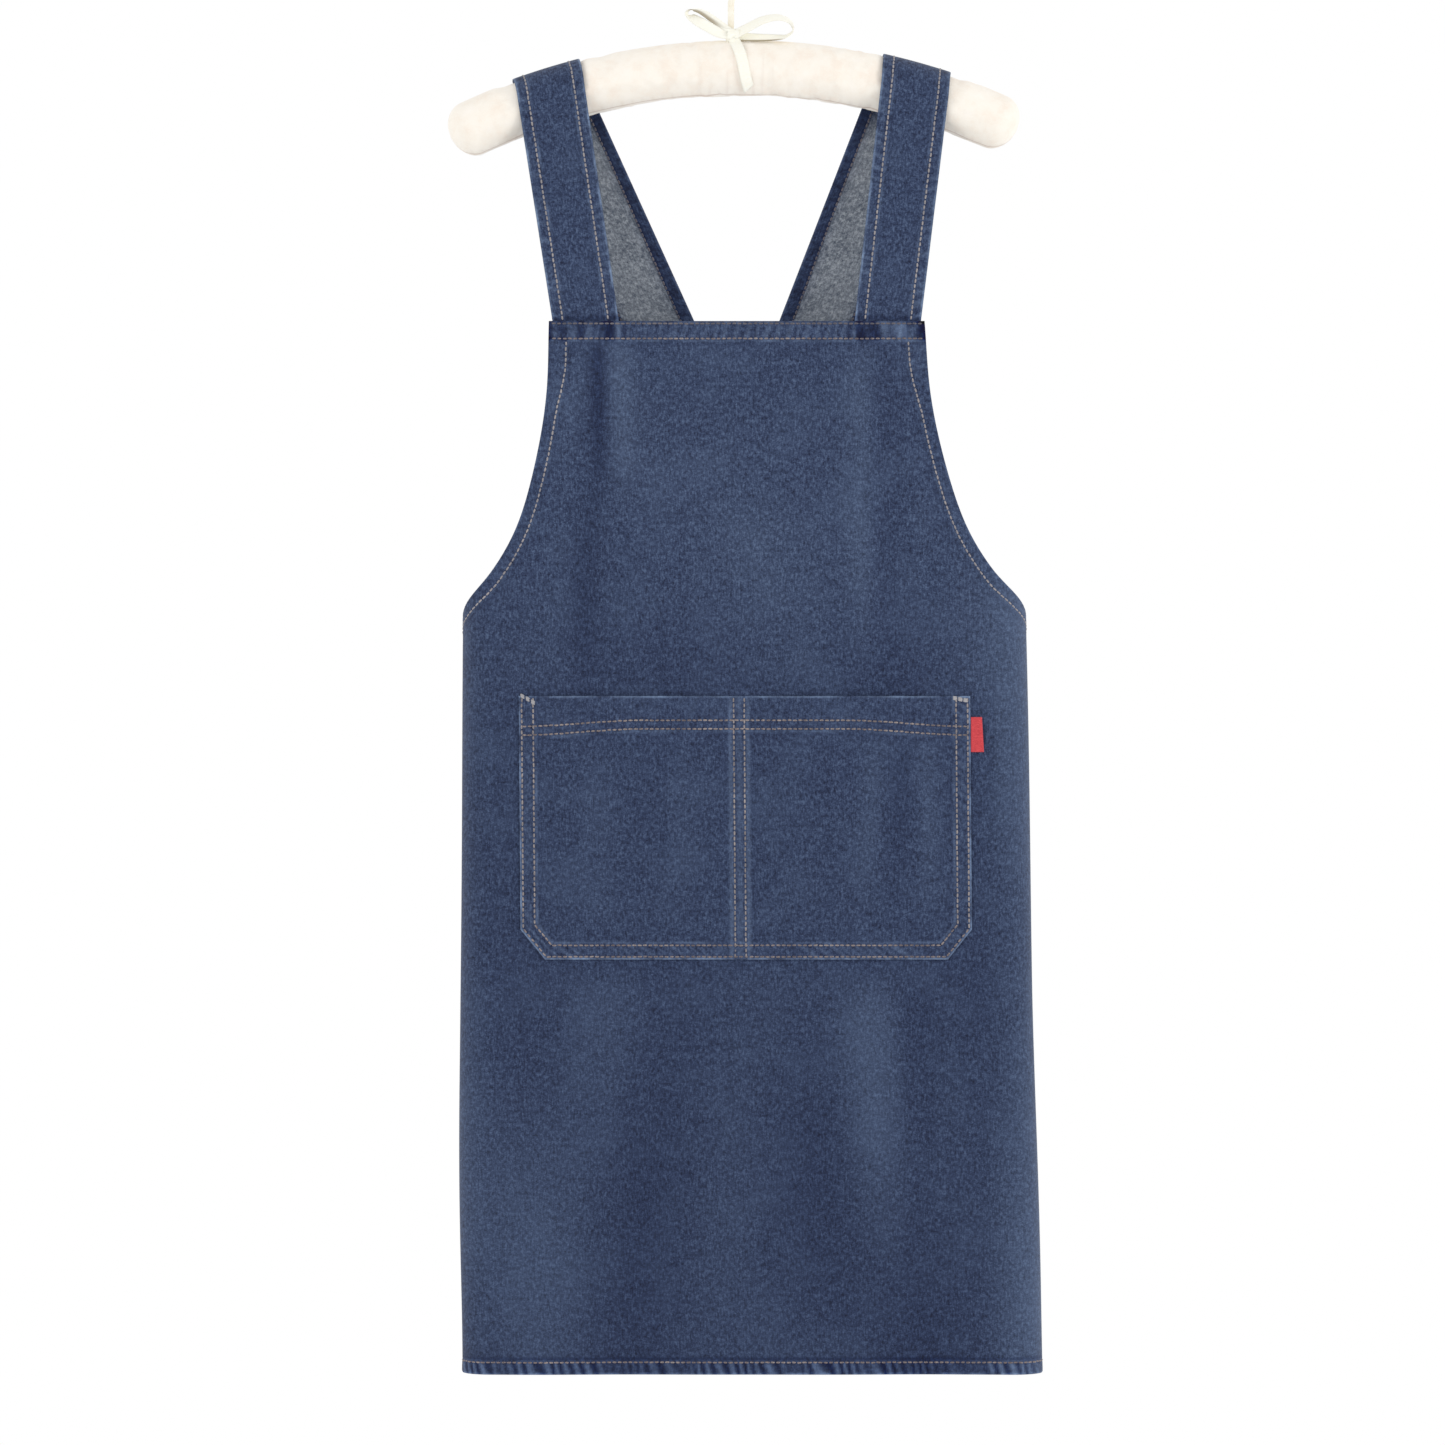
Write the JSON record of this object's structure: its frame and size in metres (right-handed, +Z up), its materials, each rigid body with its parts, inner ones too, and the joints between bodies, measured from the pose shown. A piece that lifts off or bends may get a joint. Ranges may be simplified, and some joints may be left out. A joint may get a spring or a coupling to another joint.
{
  "type": "apron on a padded hanger",
  "caption": "Pull-over denim bib apron with crossed back straps and a divided patch pocket, hung on a cloth-covered padded hanger with a ribbon bow and a swivel hook.",
  "frame": {"origin": "the seat inside the hook's crook, where the hanger rests on a rail", "axes": "+Z up; the apron's front faces -Y; +X to the viewer's right when facing its front"},
  "size_m": [0.4164, 0.0504, 1.0156],
  "materials": {
    "denim": "indigo denim twill, soft washed",
    "thread": "tan topstitching thread",
    "ivory_cloth": "ivory velour cloth",
    "ribbon": "ivory satin ribbon",
    "wadding": "polyester wadding",
    "label": "red woven tab, plain",
    "wood": "plain beech, sanded",
    "steel": "bright drawn wire"
  },
  "bodies": {
    "hook": {"hook_wire": "steel", "hook_sleeve": "ivory_cloth"},
    "hanger": {"hanger_core": "wood", "hanger_padding": "wadding", "hanger_cover": "ivory_cloth", "hook_washer": "steel", "ribbon_bow": "ribbon"},
    "label": {"label_tab": "label"},
    "apron": {"armhole_stitch_left": "thread", "armhole_stitch_right": "thread", "back_edge_stitch_left": "thread", "back_edge_stitch_right": "thread", "back_panel_left": "denim", "back_panel_right": "denim", "bib_stitch_lower": "thread", "bib_stitch_upper": "thread", "front_panel": "denim", "hem_stitch": "thread", "pocket_panel": "denim", "pocket_stitching": "thread", "side_seam_stitch_left": "thread", "side_seam_stitch_right": "thread", "strap_left": "denim", "strap_left_end_stitch": "thread", "strap_left_stitch_inner": "thread", "strap_left_stitch_outer": "thread", "strap_right": "denim", "strap_right_end_stitch": "thread", "strap_right_stitch_inner": "thread", "strap_right_stitch_outer": "thread"}
  },
  "joints": [
    {"name": "hook_swivel", "type": "hinge", "parent": "hook", "child": "hanger", "pos_m": [0, 0, -0.08], "axis": [0, 0, 1], "continuous": true},
    {"name": "apron_lift", "type": "slide", "parent": "hanger", "child": "apron", "axis": [0, 0, 1], "range_m": [0, 0.23]},
    {"name": "label_flap", "type": "hinge", "parent": "apron", "child": "label", "pos_m": [0.16823, -0.0216, -0.5635], "axis": [0, 0, -1], "range_deg": [0, 120], "stiffness_Nm_per_rad": 0.0002}
  ]
}
